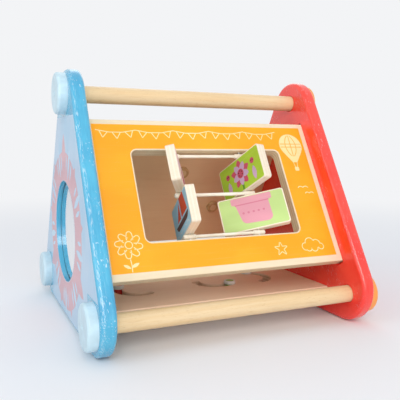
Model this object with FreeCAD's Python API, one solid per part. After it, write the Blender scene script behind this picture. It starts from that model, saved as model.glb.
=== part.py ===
import FreeCAD, Part
import math
import os

os.makedirs("parts", exist_ok=True)

Vector = FreeCAD.Vector
Rotation = FreeCAD.Rotation

# A wooden activity triangle. X runs along the bars from the blue plate to the red one, Y to the rear,
# Z up. The origin is the middle of the footprint, on the ground. All sizes are in millimetres.

# The two end plates and the three bars
inner_width = 260.0
bar_spacing = 242.0
bar_dia = 18.0
bar_fit = 0.1
bar_chamfer = 1.0
bore_chamfer = 0.9
plate_thick = 15.0
corner_radius = 37.0
corner_inset = 12.0
plate_arris = 4.0

# The turned caps over the bar ends
cap_dia = 43.0
cap_thick = 10.0
cap_socket = 5.0
cap_round = 3.0
dimple_dia = 6.0
dimple_depth = 1.8

# The mirror and its recess
mirror_dia = 107.0
mirror_thick = 2.0
mirror_rise = -5.3
mirror_back = 9.0
recess_depth = 7.2
recess_fit = 0.2

# The three panels and their housings in the plates
panel_height = 171.8
panel_thick = 12.0
panel_proud = 0.3
panel_arris = 0.8
front_drop = 0.65
floor_drop = 3.0
housing_depth = 4.0
housing_fit = 0.2
housing_run = 2.5
housing_corner = 2.0

# The window in the front panel
window_width = 174.0
window_height = 100.0
window_rise = 0.15
window_corner = 6.0

# The picture blocks, their axles and the spacers between them
side_margin = 11.5
middle_gap = 7.0
hub_clear = 1.8
block_thick = 9.5
block_corner = 3.0
block_arris = 0.8
block_float = 0.3
axle_dia = 3.0
axle_play = 0.1
axle_seat = 12.0
axle_sink = 3.0
glue_fit = 0.05
rod_dia = 3.6
hub_dia = 5.4
hub_length = 14.0
hub_chamfer = 1.0
upper_left_turn = 117.0
lower_left_turn = 98.5
upper_right_turn = 78.5
lower_right_turn = 27.5

# The two meshing gears on the rear panel
gear_module = 5.5
large_teeth = 16
small_teeth = 12
pressure_angle = 25.0
addendum_share = 0.8
dedendum_share = 1.05
gear_backlash = 0.7
gear_thick = 10.0
gear_gap = 0.4
gear_slope = 45.0
large_gear_across = 6.0
large_gear_up = 24.0
journal_dia = 12.0
journal_play = 0.1
spigot_dia = 9.0
peg_head_dia = 24.0
peg_head_thick = 5.0
peg_head_round = 2.0
washer_dia = 16.0
washer_thick = 4.0
washer_chamfer = 0.8

# The curved tracks in the floor panel and the knobs that run in them
track_radius = 21.0
track_width = 10.0
track_play = 0.4
track_sweep = 145.0
track_out = 17.0
left_track_inset = 57.0
middle_track_across = 20.0
right_track_inset = 62.0
left_track_start = 66.0
middle_track_start = 52.0
right_track_start = -72.5
knob_dia = 18.0
knob_thick = 9.0
knob_round = 2.5
knob_gap = 0.5
disc_dia = 13.6
disc_thick = 3.5
disc_chamfer = 0.8
disc_gap = 0.3

# Sizes that follow from the ones above
corner_angles = {"top": 90.0, "front": 210.0, "rear": 330.0}
half_corner = 180.0 / len(corner_angles)
front_turn = corner_angles["top"] + half_corner - 90.0
floor_turn = corner_angles["front"] + half_corner - 90.0
rear_turn = corner_angles["rear"] + half_corner - 90.0
bar_inradius = bar_spacing / (2 * math.sqrt(3))
bar_circle = bar_spacing / math.sqrt(3)
centre_height = bar_inradius - corner_inset / 2 + corner_radius
panel_face = bar_inradius + bar_dia / 2 + panel_proud
panel_back = panel_face - panel_thick
plate_inner = inner_width / 2
plate_outer = plate_inner + plate_thick
block_height = (window_height - 2 * hub_clear - 3 * hub_dia - 4 * block_float) / 2
block_width = (window_width - 2 * side_margin - middle_gap) / 2
column_spacing = block_width + middle_gap
row_pitch = block_height + 2 * block_float + hub_dia
gear_distance = gear_module * (large_teeth + small_teeth) / 2
stem_dia = track_width - 2 * track_play
floor_face = panel_face + floor_drop
floor_back = panel_back + floor_drop


def write(shape, node):
    """Write one sub-part to its own file."""
    shape.exportStep("parts/" + node + ".step")


def on_side(shape, turn):
    """Carry a shape from the frame of a side, with Z outwards, to its place in the triangle."""
    placed = shape.copy()
    placed.rotate(Vector(0, 0, 0), Vector(1, 0, 0), turn)
    placed.translate(Vector(0, 0, centre_height))
    return placed


def rod_along_x(diameter, start, length, y=0.0, z=0.0):
    """A round bar along X."""
    return Part.makeCylinder(diameter / 2, length, Vector(start, y, z), Vector(1, 0, 0))


def disc(diameter, thickness, x=0.0, y=0.0, z=0.0):
    """A round disc that rises along Z."""
    return Part.makeCylinder(diameter / 2, thickness, Vector(x, y, z), Vector(0, 0, 1))


def centred_box(width, height, depth, x=0.0, y=0.0, z=0.0):
    """A block centred across and along, rising from z."""
    return Part.makeBox(width, height, depth, Vector(x - width / 2, y - height / 2, z))


def edges_along(shape, direction):
    """The straight edges of a shape that run along a direction."""
    found = []
    for edge in shape.Edges:
        if isinstance(edge.Curve, Part.Line):
            if abs(edge.tangentAt(edge.FirstParameter).dot(direction)) > 0.999:
                found.append(edge)
    return found


def edges_at(shape, axis, level):
    """The edges that lie in the plane where the coordinate of the axis has this level."""
    found = []
    for edge in shape.Edges:
        ends = [getattr(vertex.Point, axis) for vertex in edge.Vertexes]
        if all(abs(value - level) < 1e-6 for value in ends):
            found.append(edge)
    return found


def round_edges_at(shape, axis, level, radius):
    """Round every edge in the plane where the coordinate of the axis has this level."""
    return shape.makeFillet(radius, edges_at(shape, axis, level))


def rounded_slab(width, height, thickness, corner, arris):
    """A flat slab centred on the origin, with round corners and softened arrises on both faces."""
    slab = centred_box(width, height, thickness, z=-thickness / 2)
    slab = slab.makeFillet(corner, edges_along(slab, Vector(0, 0, 1)))
    slab = round_edges_at(slab, "z", thickness / 2, arris)
    return round_edges_at(slab, "z", -thickness / 2, arris)


def corner_place(angle, reach):
    """The Y and Z of a point at a reach from the triangle's middle, towards an angle in degrees."""
    turn = math.radians(angle)
    return reach * math.cos(turn), centre_height + reach * math.sin(turn)


# The bars stand at the triangle's corners: the top one is a handle, the other two are low down
bar_places = {name: corner_place(angle, bar_circle) for name, angle in corner_angles.items()}

# Each panel's turn about the triangle's middle, its shift along the side and the level of its inner face
panel_places = {
    "front": (front_turn, -front_drop, panel_back),
    "floor": (floor_turn, 0.0, floor_back),
    "rear": (rear_turn, 0.0, panel_back),
}


def plate_outline(x):
    """The face of the rounded triangle that both end plates share."""
    ends = []
    edges = []
    for middle in corner_angles.values():
        corner = Vector(x, *corner_place(middle, bar_circle - corner_inset))
        points = []
        for angle in (middle - half_corner, middle, middle + half_corner):
            turn = math.radians(angle)
            points.append(corner + Vector(0, corner_radius * math.cos(turn), corner_radius * math.sin(turn)))
        ends.append((points[0], points[2]))
        edges.append(Part.Arc(*points).toShape())
    for number, (first, last) in enumerate(ends):
        following = ends[(number + 1) % len(ends)][0]
        edges.append(Part.LineSegment(last, following).toShape())
    return Part.Face(Part.Wire(Part.__sortEdges__(edges)))


def housing(side, inner_x):
    """The groove in a plate that takes one panel's end."""
    turn, shift, back = panel_places[side]
    length = panel_height + 2 * housing_run
    groove = centred_box(housing_depth * 2, length, panel_thick + 2 * housing_fit,
                         inner_x, shift, back - housing_fit)
    groove = groove.makeFillet(housing_corner, edges_along(groove, Vector(1, 0, 0)))
    return on_side(groove, turn)


def end_plate(inner_x, into):
    """An end plate: rounded arrises, three housings and three bored holes, countersunk inside."""
    plate = plate_outline(inner_x).extrude(Vector(into * plate_thick, 0, 0))
    plate = round_edges_at(plate, "x", inner_x, plate_arris)
    plate = round_edges_at(plate, "x", inner_x + into * plate_thick, plate_arris)
    bore = bar_dia / 2 + bar_fit
    for y, z in bar_places.values():
        plate = plate.cut(rod_along_x(2 * bore, inner_x - plate_thick, 2 * plate_thick, y, z))
        sink = Part.makeCone(bore + bore_chamfer, bore, bore_chamfer, Vector(inner_x, y, z), Vector(into, 0, 0))
        plate = plate.cut(sink)
    for side in panel_places:
        plate = plate.cut(housing(side, inner_x))
    return plate


def mirror_height():
    """The height of the mirror's middle above the ground."""
    return centre_height + mirror_rise


left_plate = end_plate(-plate_inner, -1)
recess = rod_along_x(mirror_dia + 2 * recess_fit, -plate_outer, recess_depth, mirror_back, mirror_height())
write(left_plate.cut(recess), "left_plate")
write(end_plate(plate_inner, 1), "right_plate")

# The mirror lies on the floor of its recess
mirror_face = recess_depth - mirror_thick - plate_outer
mirror = rod_along_x(mirror_dia, mirror_face, mirror_thick, mirror_back, mirror_height())
write(mirror, "mirror")


def bar(y, z):
    """A dowel that runs through both plates and into the sockets of its two caps."""
    length = inner_width + 2 * (plate_thick + cap_socket - bar_fit)
    rod = rod_along_x(bar_dia, -length / 2, length, y, z)
    ends = [edge for edge in rod.Edges if isinstance(edge.Curve, Part.Circle)]
    return rod.makeChamfer(bar_chamfer, ends)


def cap(y, z, side):
    """A turned cap: rounded rim, blind socket for the bar and the small dimple left by the lathe."""
    body = disc(cap_dia, cap_thick)
    body = round_edges_at(body, "z", cap_thick, cap_round)
    body = body.cut(disc(bar_dia + 2 * bar_fit, cap_socket))
    pit_foot = Vector(0, 0, cap_thick - dimple_depth)
    pit = Part.makeCone(0, dimple_dia / 2, dimple_depth, pit_foot, Vector(0, 0, 1))
    body = body.cut(pit)
    body.rotate(Vector(0, 0, 0), Vector(0, 1, 0), 90.0 * side)
    body.translate(Vector(side * plate_outer, y, z))
    return body


for name, (bar_y, bar_z) in bar_places.items():
    write(bar(bar_y, bar_z), name + "_bar")
    write(cap(bar_y, bar_z, -1), "left_" + name + "_cap")
    write(cap(bar_y, bar_z, 1), "right_" + name + "_cap")


def plain_panel(side):
    """A plywood panel in its side's frame, with softened long arrises."""
    turn, shift, back = panel_places[side]
    length = inner_width + 2 * (housing_depth - housing_fit)
    board = centred_box(length, panel_height, panel_thick, 0, shift, back)
    return board.makeFillet(panel_arris, edges_along(board, Vector(1, 0, 0)))


# The front panel has the window, and a bore for each axle from its top edge to below the window
window_middle = window_rise - front_drop
window = centred_box(window_width, window_height, panel_thick * 3, 0, window_middle, panel_back - panel_thick)
window = window.makeFillet(window_corner, edges_along(window, Vector(0, 0, 1)))
front_panel = plain_panel("front").cut(window)
front_panel = front_panel.makeFillet(panel_arris, [
    edge for edge in front_panel.Edges
    if abs(edge.BoundBox.Center.x) < window_width / 2 + 1
    and abs(edge.BoundBox.Center.y - window_middle) < window_height / 2 + 1
    and all(abs(vertex.Point.z - panel_face) < 1e-6 for vertex in edge.Vertexes)
])
axle_level = panel_face - panel_thick / 2
axle_foot = window_middle - window_height / 2 - axle_seat
panel_top = panel_height / 2 - front_drop
column_places = {"left": -column_spacing / 2, "right": column_spacing / 2}
for column_x in column_places.values():
    bore = Part.makeCylinder(axle_dia / 2 + glue_fit, panel_height,
                             Vector(column_x, axle_foot, axle_level), Vector(0, 1, 0))
    front_panel = front_panel.cut(bore)
write(on_side(front_panel, front_turn), "front_panel")

# The axles run from their seats below the window to just under the panel's top edge
for name, column_x in column_places.items():
    axle = Part.makeCylinder(axle_dia / 2, panel_top - axle_sink - axle_foot,
                             Vector(column_x, axle_foot, axle_level), Vector(0, 1, 0))
    write(on_side(axle, front_turn), name + "_axle")


def spacer(along):
    """A cross rod with a wider hub at each column, which is bored for the axle."""
    shape = rod_along_x(rod_dia, -column_spacing / 2, column_spacing)
    for column_x in column_places.values():
        hub = rod_along_x(hub_dia, column_x - hub_length / 2, hub_length)
        ends = [edge for edge in hub.Edges if isinstance(edge.Curve, Part.Circle)]
        shape = shape.fuse(hub.makeChamfer(hub_chamfer, ends))
    for column_x in column_places.values():
        bore = Part.makeCylinder(axle_dia / 2 + glue_fit, 2 * hub_dia,
                                 Vector(column_x, -hub_dia, 0), Vector(0, 1, 0))
        shape = shape.cut(bore)
    shape.translate(Vector(0, along, axle_level))
    return shape


for name, row in (("top", 1), ("middle", 0), ("bottom", -1)):
    write(on_side(spacer(window_middle + row * row_pitch), front_turn), name + "_spacer")


def picture_block(column_x, row, turned):
    """A picture block bored along its middle, turned about its axle as it is left at rest."""
    block = rounded_slab(block_width, block_height, block_thick, block_corner, block_arris)
    bore = Part.makeCylinder(axle_dia / 2 + axle_play, 2 * block_height,
                             Vector(0, -block_height, 0), Vector(0, 1, 0))
    block = block.cut(bore)
    block.rotate(Vector(0, 0, 0), Vector(0, 1, 0), -turned)
    block.translate(Vector(column_x, window_middle + row * row_pitch / 2, axle_level))
    return on_side(block, front_turn)


write(picture_block(column_places["left"], 1, upper_left_turn), "upper_left_block")
write(picture_block(column_places["left"], -1, lower_left_turn), "lower_left_block")
write(picture_block(column_places["right"], 1, upper_right_turn), "upper_right_block")
write(picture_block(column_places["right"], -1, lower_right_turn), "lower_right_block")


def polar(radius, angle, level=0.0):
    """A point at a radius and an angle in radians."""
    return Vector(radius * math.cos(angle), radius * math.sin(angle), level)


def gear_blank(teeth, first_tooth):
    """A spur gear with involute flanks. One tooth's middle points at the given angle in degrees."""
    pitch = gear_module * teeth / 2
    tip = pitch + gear_module * addendum_share
    root = pitch - gear_module * dedendum_share
    base = pitch * math.cos(math.radians(pressure_angle))
    start = max(base, root)

    def involute(radius):
        """The angle that the flank has swept from the base circle at a radius."""
        roll = math.sqrt(max((radius / base) ** 2 - 1.0, 0.0))
        return roll - math.atan(roll)

    half_tooth = (math.pi * gear_module / 2 - gear_backlash / 2) / 2 / pitch
    flank_at_base = half_tooth + involute(pitch)
    edges = []
    previous = None
    for number in range(teeth):
        middle = math.radians(first_tooth) + 2 * math.pi * number / teeth
        rise = [(radius, flank_at_base - involute(radius)) for radius in (start, (start + tip) / 2, tip)]
        up = [polar(radius, middle - swing) for radius, swing in rise]
        down = [polar(radius, middle + swing) for radius, swing in reversed(rise)]
        foot = polar(root, middle - rise[0][1])
        toe = polar(root, middle + rise[0][1])
        if previous is not None:
            edges.append(root_arc(root, previous, middle - rise[0][1]))
        else:
            first_angle = middle - rise[0][1]
        edges.append(Part.LineSegment(foot, up[0]).toShape())
        edges.append(Part.Arc(*up).toShape())
        edges.append(Part.Arc(up[2], polar(tip, middle), down[0]).toShape())
        edges.append(Part.Arc(*down).toShape())
        edges.append(Part.LineSegment(down[2], toe).toShape())
        previous = middle + rise[0][1]
    edges.append(root_arc(root, previous, first_angle + 2 * math.pi))
    outline = Part.Face(Part.Wire(edges))
    gear = outline.extrude(Vector(0, 0, gear_thick))
    hole = disc(journal_dia + 2 * journal_play, gear_thick)
    return gear.cut(hole)


def root_arc(root, first, last):
    """The arc between two teeth along the root circle."""
    return Part.Arc(polar(root, first), polar(root, (first + last) / 2), polar(root, last)).toShape()


def gear_peg():
    """A turned peg: head outside, journal for the gear, spigot through the panel into its washer."""
    journal = gear_thick + 2 * gear_gap
    head = disc(peg_head_dia, peg_head_thick, z=journal)
    head = round_edges_at(head, "z", journal + peg_head_thick, peg_head_round)
    spigot = disc(spigot_dia, panel_thick + washer_thick, z=-panel_thick - washer_thick)
    return head.fuse(disc(journal_dia, journal)).fuse(spigot).removeSplitter()


def inner_washer():
    """The washer glued on the spigot, against the panel's inner face."""
    ring = disc(washer_dia, washer_thick, z=-panel_thick - washer_thick)
    ring = ring.makeChamfer(washer_chamfer, edges_at(ring, "z", -panel_thick - washer_thick))
    return ring.cut(disc(spigot_dia + 2 * glue_fit, washer_thick, z=-panel_thick - washer_thick))


# In the rear panel's frame the second axis points down the slope
slope = math.radians(gear_slope)
gear_places = {
    "large": (large_gear_across, -large_gear_up, large_teeth),
    "small": (large_gear_across + gear_distance * math.cos(slope),
              -large_gear_up + gear_distance * math.sin(slope), small_teeth),
}
first_teeth = {
    "large": gear_slope,
    "small": gear_slope + 180.0 + 180.0 / small_teeth,
}
rear_panel = plain_panel("rear")
for name, (gear_x, gear_y, teeth) in gear_places.items():
    shift = Vector(gear_x, gear_y, panel_face)
    rear_panel = rear_panel.cut(disc(spigot_dia + 2 * glue_fit, panel_thick * 3,
                                     gear_x, gear_y, panel_back - panel_thick))
    gear = gear_blank(teeth, first_teeth[name])
    gear.translate(shift + Vector(0, 0, gear_gap))
    write(on_side(gear, rear_turn), name + "_gear")
    peg = gear_peg()
    peg.translate(shift)
    write(on_side(peg, rear_turn), name + "_gear_peg")
    washer = inner_washer()
    washer.translate(shift)
    write(on_side(washer, rear_turn), name + "_gear_washer")
write(on_side(rear_panel, rear_turn), "rear_panel")


def track_slot(across, start):
    """A curved slot with round ends, as a solid that cuts right through the floor panel."""
    first = math.radians(start)
    last = math.radians(start + track_sweep)
    middle = (first + last) / 2
    half = track_width / 2
    outer = track_radius + half
    inner = track_radius - half
    near = polar(track_radius, last) + polar(half, last + math.pi / 2)
    far = polar(track_radius, first) + polar(half, first - math.pi / 2)
    outline = Part.Wire([
        Part.Arc(polar(outer, first), polar(outer, middle), polar(outer, last)).toShape(),
        Part.Arc(polar(outer, last), near, polar(inner, last)).toShape(),
        Part.Arc(polar(inner, last), polar(inner, middle), polar(inner, first)).toShape(),
        Part.Arc(polar(inner, first), far, polar(outer, first)).toShape(),
    ])
    slot = Part.Face(outline).extrude(Vector(0, 0, panel_thick * 3))
    slot.translate(Vector(across, track_out, floor_back - panel_thick))
    return slot


def track_knob():
    """The knob outside the floor panel, with its stem through the track."""
    foot = floor_face + knob_gap
    stem_end = floor_back - disc_gap - disc_thick
    knob = disc(knob_dia, knob_thick, z=foot)
    knob = round_edges_at(knob, "z", foot + knob_thick, knob_round)
    stem = disc(stem_dia, foot - stem_end, z=stem_end)
    return knob.fuse(stem).removeSplitter()


def track_disc():
    """The disc glued on the stem, over the panel's inner face."""
    end = floor_back - disc_gap - disc_thick
    ring = disc(disc_dia, disc_thick, z=end)
    ring = ring.makeChamfer(disc_chamfer, edges_at(ring, "z", end))
    return ring.cut(disc(stem_dia + 2 * glue_fit, disc_thick, z=end))


# Each track is an arc: where its middle lies across the panel, the angle where it starts, and how far
# along it the knob rests. The left and middle tracks bow to the front bar, the right one to the red plate
tracks = {
    "left": (left_track_inset - plate_inner, left_track_start, track_sweep),
    "middle": (middle_track_across, middle_track_start, 0.0),
    "right": (plate_inner - right_track_inset, right_track_start, 0.0),
}
floor_panel = plain_panel("floor")
for name, (across, start, rest) in tracks.items():
    floor_panel = floor_panel.cut(track_slot(across, start))
    place = Vector(across, track_out, 0) + polar(track_radius, math.radians(start + rest))
    for part, shape in (("knob", track_knob()), ("disc", track_disc())):
        shape.translate(place)
        write(on_side(shape, floor_turn), name + "_track_" + part)
write(on_side(floor_panel, floor_turn), "floor_panel")
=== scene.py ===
"""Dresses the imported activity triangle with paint, wood, metal and prints, and sets up its studio.

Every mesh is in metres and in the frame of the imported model. Drawings are in millimetres on their
own flat sheet, and are carried to the face that they are printed on when they are finished.
"""

import logging
import math
from dataclasses import dataclass, field
from enum import Enum
from typing import Any, Optional, Sequence, Union

import bmesh
import bpy
from mathutils import Matrix, Vector


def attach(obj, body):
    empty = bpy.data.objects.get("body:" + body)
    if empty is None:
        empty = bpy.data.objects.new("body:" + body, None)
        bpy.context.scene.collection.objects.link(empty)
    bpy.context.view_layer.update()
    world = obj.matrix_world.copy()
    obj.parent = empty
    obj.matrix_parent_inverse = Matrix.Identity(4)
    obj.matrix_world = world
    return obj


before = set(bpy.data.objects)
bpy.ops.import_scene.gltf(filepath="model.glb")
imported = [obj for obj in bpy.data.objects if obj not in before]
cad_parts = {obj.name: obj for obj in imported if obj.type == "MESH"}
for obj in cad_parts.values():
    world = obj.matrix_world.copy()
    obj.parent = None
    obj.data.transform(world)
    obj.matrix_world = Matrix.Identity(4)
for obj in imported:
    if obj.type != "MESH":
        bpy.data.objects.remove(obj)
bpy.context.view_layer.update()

LOG = logging.getLogger("activity_triangle")
MM = 0.001
Colour = tuple[float, float, float]

WELD = 0.004  # vertices nearer than this are one, in millimetres
LAP = 0.004  # how much higher a shape stands than one that it laps over, in millimetres
CUT = 2.0  # the thickness of a solid that cuts a print, in millimetres


def ink(red: int, green: int, blue: int) -> Colour:
    """Turns a colour as a screen shows it into linear light.

    Args:
        red: the red share, 0 to 255.
        green: the green share, 0 to 255.
        blue: the blue share, 0 to 255.

    Returns:
        The three shares of light, 0 to 1.
    """
    shares = [level / 255 for level in (red, green, blue)]
    return tuple(s / 12.92 if s <= 0.04045 else ((s + 0.055) / 1.055) ** 2.4 for s in shares)


class Side(Enum):
    """The three panels' sides, each by its turn in degrees about the triangle's middle line."""

    FRONT = 60.0
    FLOOR = 180.0
    REAR = 300.0

    def matrix(self) -> Matrix:
        """The side's frame: X along the bars, Y along the slope, Z outwards."""
        return TRIANGLE.middle() @ Matrix.Rotation(math.radians(self.value), 4, "X")


@dataclass(frozen=True)
class Triangle:
    """The sizes that the sub-assemblies share, in millimetres."""

    centre_height: float = 100.86
    plate_outer: float = 145.0
    panel_face: float = 79.16
    panel_thick: float = 12.0
    floor_drop: float = 3.0
    mirror_radius: float = 53.5
    mirror_back: float = 9.0
    mirror_rise: float = -5.3
    window_middle: float = -0.5
    window_width: float = 174.0
    window_height: float = 100.0
    axle_level: float = 73.16

    def middle(self) -> Matrix:
        """The frame at the triangle's middle line, not turned."""
        return Matrix.Translation((0.0, 0.0, self.centre_height * MM))

    def on_face(self, side: Side) -> Matrix:
        """The frame of a panel's outer face, with the drawing in its X and Y."""
        level = self.panel_face + (self.floor_drop if side is Side.FLOOR else 0.0)
        return side.matrix() @ Matrix.Translation((0.0, 0.0, level * MM))

    def left_plate(self) -> Matrix:
        """The frame of the left plate's outer face, as it is read from outside."""
        turned = Matrix(((0, 0, -1, 0), (-1, 0, 0, 0), (0, 1, 0, 0), (0, 0, 0, 1)))
        return Matrix.Translation((-self.plate_outer * MM, 0.0, self.centre_height * MM)) @ turned


TRIANGLE = Triangle()


class Wire:
    """A node's output that takes part in Python arithmetic, which adds Math nodes."""

    def __init__(self, graph: "Graph", socket: bpy.types.NodeSocket) -> None:
        """Wraps an output socket of a graph."""
        self.graph = graph
        self.socket = socket

    def __add__(self, other: "Value") -> "Wire":
        """self + other."""
        return self.graph.maths("ADD", self, other)

    def __radd__(self, other: "Value") -> "Wire":
        """other + self."""
        return self.graph.maths("ADD", other, self)

    def __sub__(self, other: "Value") -> "Wire":
        """self - other."""
        return self.graph.maths("SUBTRACT", self, other)

    def __rsub__(self, other: "Value") -> "Wire":
        """other - self."""
        return self.graph.maths("SUBTRACT", other, self)

    def __mul__(self, other: "Value") -> "Wire":
        """self * other."""
        return self.graph.maths("MULTIPLY", self, other)

    def __rmul__(self, other: "Value") -> "Wire":
        """other * self."""
        return self.graph.maths("MULTIPLY", other, self)


Value = Union[Wire, float]


class Graph:
    """The node tree of one material."""

    def __init__(self, name: str) -> None:
        """Starts an empty tree in a new material.

        Args:
            name: the material's name.
        """
        self.material = bpy.data.materials.new(name)
        self.material.use_nodes = True
        self.tree = self.material.node_tree
        self.tree.nodes.clear()

    def node(self, kind: str, settings: dict[str, Any], inputs: dict[Any, Any]) -> bpy.types.Node:
        """Adds any node.

        Args:
            kind: the node's type name.
            settings: its properties, set first.
            inputs: what each socket gets, by name or number: a wire or a plain value.

        Returns:
            The new node.
        """
        made = self.tree.nodes.new(kind)
        for key, value in settings.items():
            setattr(made, key, value)
        for key, value in inputs.items():
            if isinstance(value, Wire):
                self.tree.links.new(value.socket, made.inputs[key])
            else:
                made.inputs[key].default_value = value
        return made

    def out(self, kind: str, settings: dict[str, Any], inputs: dict[Any, Any],
            output: Any = 0) -> Wire:
        """Adds a node and gives one of its outputs as a wire."""
        return Wire(self, self.node(kind, settings, inputs).outputs[output])

    def maths(self, operation: str, first: Value, second: Value) -> Wire:
        """One Math node on two values."""
        return self.out("ShaderNodeMath", {"operation": operation}, {0: first, 1: second})

    def local(self, place: Matrix) -> Wire:
        """Coordinates in a piece's own frame, in metres, from the object's coordinates.

        Args:
            place: the frame in which the pattern lies.

        Returns:
            The coordinates.
        """
        source = self.out("ShaderNodeTexCoord", {}, {}, "Object")
        location, rotation, _ = place.decompose()
        return self.out("ShaderNodeMapping", {"vector_type": "TEXTURE"},
                        {"Vector": source, "Location": location, "Rotation": rotation.to_euler()})

    def noise(self, at: Wire, stretch: Sequence[float], detail: float = 2.0,
              twist: float = 0.0) -> Wire:
        """Noise about 0.5 whose features are this many to a metre along each axis.

        Args:
            at: the coordinates.
            stretch: the number of features to a metre along X, Y and Z.
            detail: how many finer layers it has.
            twist: how far the pattern is distorted.

        Returns:
            The noise, 0 to 1.
        """
        scaled = self.out("ShaderNodeVectorMath", {"operation": "MULTIPLY"},
                          {0: at, 1: tuple(stretch)})
        return self.out("ShaderNodeTexNoise", {},
                        {"Vector": scaled, "Scale": 1.0, "Detail": detail, "Distortion": twist})

    def band(self, value: Value, low: float, high: float) -> Wire:
        """A smooth step from 0 at low to 1 at high."""
        return self.out("ShaderNodeMapRange", {"interpolation_type": "SMOOTHSTEP"},
                        {"Value": value, "From Min": low, "From Max": high})

    def blend(self, share: Value, first: Any, second: Any) -> Wire:
        """A colour between two, each a wire or a colour."""
        first, second = (c if isinstance(c, Wire) else (*c, 1.0) for c in (first, second))
        return self.out("ShaderNodeMix", {"data_type": "RGBA"}, {0: share, 6: first, 7: second}, 2)

    def split(self, at: Wire) -> tuple[Wire, Wire, Wire]:
        """The three coordinates of a vector."""
        parts = self.node("ShaderNodeSeparateXYZ", {}, {0: at})
        return tuple(Wire(self, parts.outputs[number]) for number in range(3))

    def length(self, at: Wire) -> Wire:
        """The length of a vector."""
        return self.out("ShaderNodeVectorMath", {"operation": "LENGTH"}, {0: at}, "Value")

    def bump(self, height: Wire, strength: float, depth: float) -> Wire:
        """A normal from a height, with the depth in millimetres at full strength."""
        return self.out("ShaderNodeBump", {},
                        {"Height": height, "Strength": strength, "Distance": depth * MM})

    def finish(self, **sockets: Any) -> bpy.types.Material:
        """Ends the tree with a Principled shader.

        Args:
            sockets: what each socket gets, named with low lines for spaces.

        Returns:
            The finished material.
        """
        inputs = {}
        for name, value in sockets.items():
            if name == "Base_Color" and not isinstance(value, Wire):
                value = (*value, 1.0)
            inputs[name.replace("_", " ")] = value
        shader = self.out("ShaderNodeBsdfPrincipled", {}, inputs)
        self.node("ShaderNodeOutputMaterial", {}, {"Surface": shader})
        return self.material


@dataclass(frozen=True)
class Finish:
    """A surface finish. Its frame has X along the grain and Z through the piece's thickness."""

    name: str
    place: Matrix = field(default_factory=Matrix)

    def start(self) -> tuple[Graph, Wire]:
        """Starts the node tree, with the coordinates in the finish's own frame."""
        graph = Graph(self.name)
        return graph, graph.local(self.place)

    def material(self) -> bpy.types.Material:
        """Builds the finish's material."""
        raise NotImplementedError


@dataclass(frozen=True)
class RunPaint(Finish):
    """Thick glossy paint on an end plate, which has run a little round the arrises.

    Lengths are in millimetres.
    """

    colour: Colour = (0.5, 0.5, 0.5)
    hollow: Colour = (0.4, 0.4, 0.4)
    runs: float = 0.35
    # How strong the painted highlights are: pale glint dashes whitened into the paint.
    glints: float = 1.0
    grain_slope: float = -60.0
    # Out from the mirror's middle, the painted glints start at the first radius and are full at the
    # second.
    glint_free_radius: float = 60.0
    glint_full_radius: float = 64.0
    arris_depth: float = 2.7

    def material(self) -> bpy.types.Material:
        """Builds the paint, with its runs and orange peel, and painted highlights: pale glint dashes
        outside the mirror's surround, with more along its outer arris.

        Returns:
            The finished material.
        """
        graph, at = self.start()
        runs = graph.noise(at, (70.0, 70.0, 620.0), 3.0, 0.6)
        peel = graph.noise(at, (330.0, 330.0, 330.0), 1.0)
        dust = graph.band(graph.noise(at, (900.0, 900.0, 900.0), 0.0), 0.80, 0.84)
        cloudy = graph.noise(at, (24.0, 24.0, 24.0), 3.0)
        slope = graph.local(self.place @ Matrix.Rotation(math.radians(self.grain_slope), 4, "Z"))
        # Painted highlight masks: dashes along the slope, and a band along the outer arris, where
        # light glints on the paint.
        dashes = graph.noise(slope, (260.0, 1500.0, 700.0), 1.0, 0.4)
        rough = graph.band(graph.noise(slope, (38.0, 60.0, 60.0), 1.0), 0.44, 0.62)
        across, up, depth = graph.split(at)
        across, up = across + TRIANGLE.mirror_back * MM, up - TRIANGLE.mirror_rise * MM
        rim = graph.band(across * across + up * up,
                         (self.glint_free_radius * MM) ** 2, (self.glint_full_radius * MM) ** 2)
        below = graph.maths("ABSOLUTE", depth + self.arris_depth * MM, 0.0)
        arris = graph.band(below, 2.2 * MM, 0.6 * MM)
        arris_glints = graph.band(graph.noise(slope, (150.0, 1500.0, 1500.0), 2.0, 0.3), 0.53, 0.60) * arris
        # The dashes and the arris band together are painted glints of light on the paint.
        rubbed = graph.band(dashes, 0.63, 0.69) * rough
        painted_glints = graph.maths("MAXIMUM", rubbed, arris_glints * 0.7) * rim * self.glints
        height = runs + peel * 0.22 + dust * 0.35 + painted_glints * 0.5
        base = graph.blend(graph.band(cloudy + runs * 0.5, 0.45, 1.05), self.hollow, self.colour)
        return graph.finish(
            # Painted highlight: the glints whiten the paint's colour.
            Base_Color=graph.blend(painted_glints * 0.62, base, ink(226, 240, 244)),
            Roughness=0.16 + cloudy * 0.16,
            Normal=graph.bump(height, self.runs, 1.1),
            Coat_Weight=0.6,
            Coat_Roughness=0.07,
        )


@dataclass(frozen=True)
class SatinPaint(Finish):
    """Thin satin paint on turned or sawn wood, through which the grain still tells."""

    colour: Colour = (0.5, 0.5, 0.5)
    sheen: float = 0.42

    def material(self) -> bpy.types.Material:
        """Builds the paint, with raised grain, brush marks and slightly thin places.

        Returns:
            The finished material.
        """
        graph, at = self.start()
        grain = graph.noise(at, (28.0, 520.0, 520.0), 3.0, 0.25)
        mottle = graph.noise(at, (90.0, 90.0, 90.0), 3.0)
        thin = graph.band(grain * 0.6 + mottle * 0.55, 0.62, 0.80)
        deep = tuple(level * 0.86 for level in self.colour)
        pale = tuple(level + (0.92 - level) * 0.16 for level in self.colour)
        base = graph.blend(graph.band(mottle, 0.25, 0.75), deep, self.colour)
        return graph.finish(
            Base_Color=graph.blend(thin * 0.6, base, pale),
            Roughness=self.sheen + mottle * 0.16 - 0.08,
            Normal=graph.bump(grain + mottle * 0.35, 0.22, 0.35),
            Coat_Weight=0.12,
            Coat_Roughness=0.3,
        )


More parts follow.
